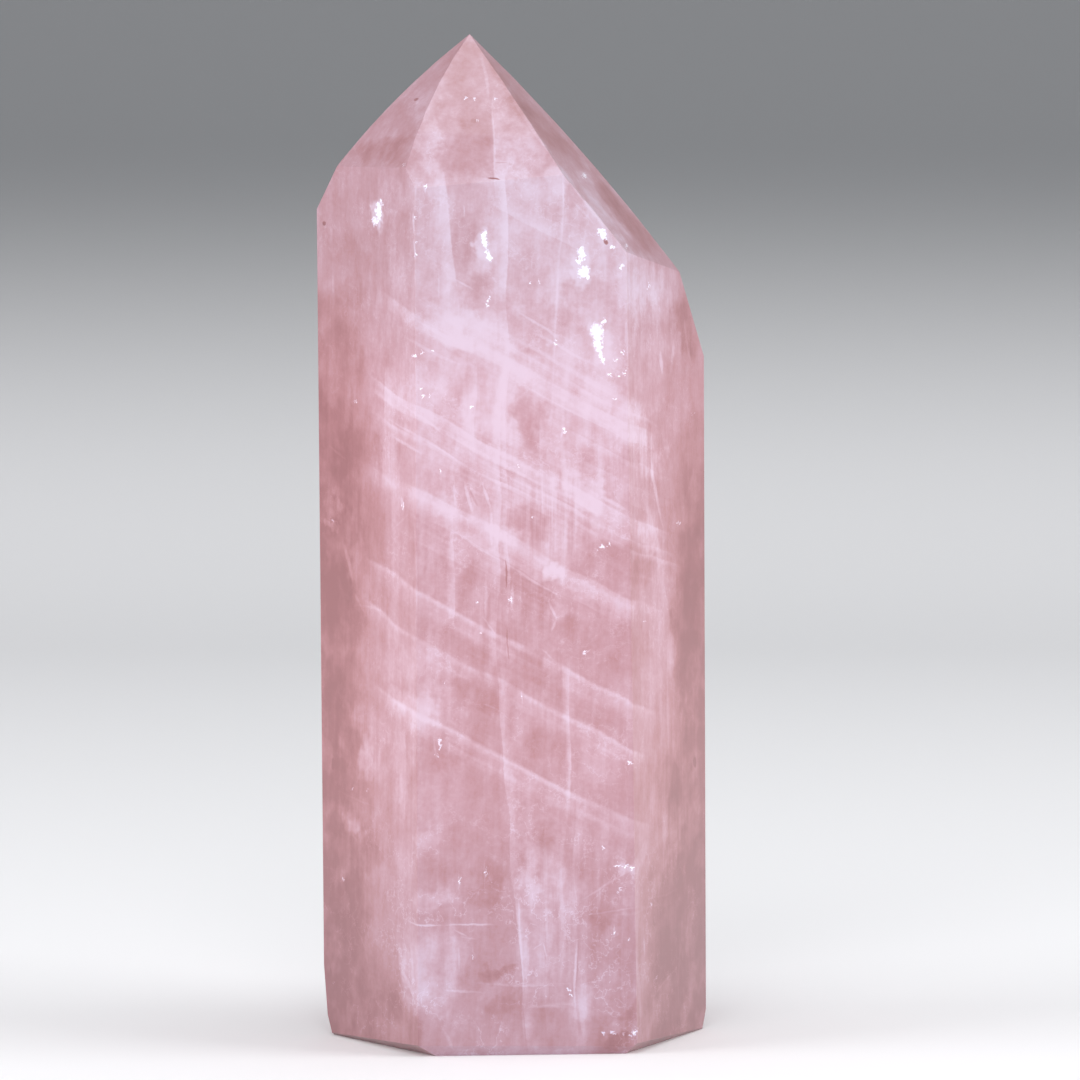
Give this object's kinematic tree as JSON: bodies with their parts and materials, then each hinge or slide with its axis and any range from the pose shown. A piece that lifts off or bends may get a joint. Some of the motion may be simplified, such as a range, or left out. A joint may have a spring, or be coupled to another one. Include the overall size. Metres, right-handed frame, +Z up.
{
  "type": "rose quartz point",
  "caption": "Upright polished rose quartz point: a stout six-sided column with a leaning faceted tip and a flat bevelled base.",
  "frame": {"origin": "centre of the bounding box, on the flat base", "axes": "+Z up through the point, -Y towards the camera of the picture, +X to the picture's right"},
  "size_m": [0.0584, 0.048, 0.15],
  "materials": {
    "rose_quartz": "polished, milky, translucent"
  },
  "bodies": {
    "root": {"crystal": "rose_quartz"}
  },
  "joints": []
}
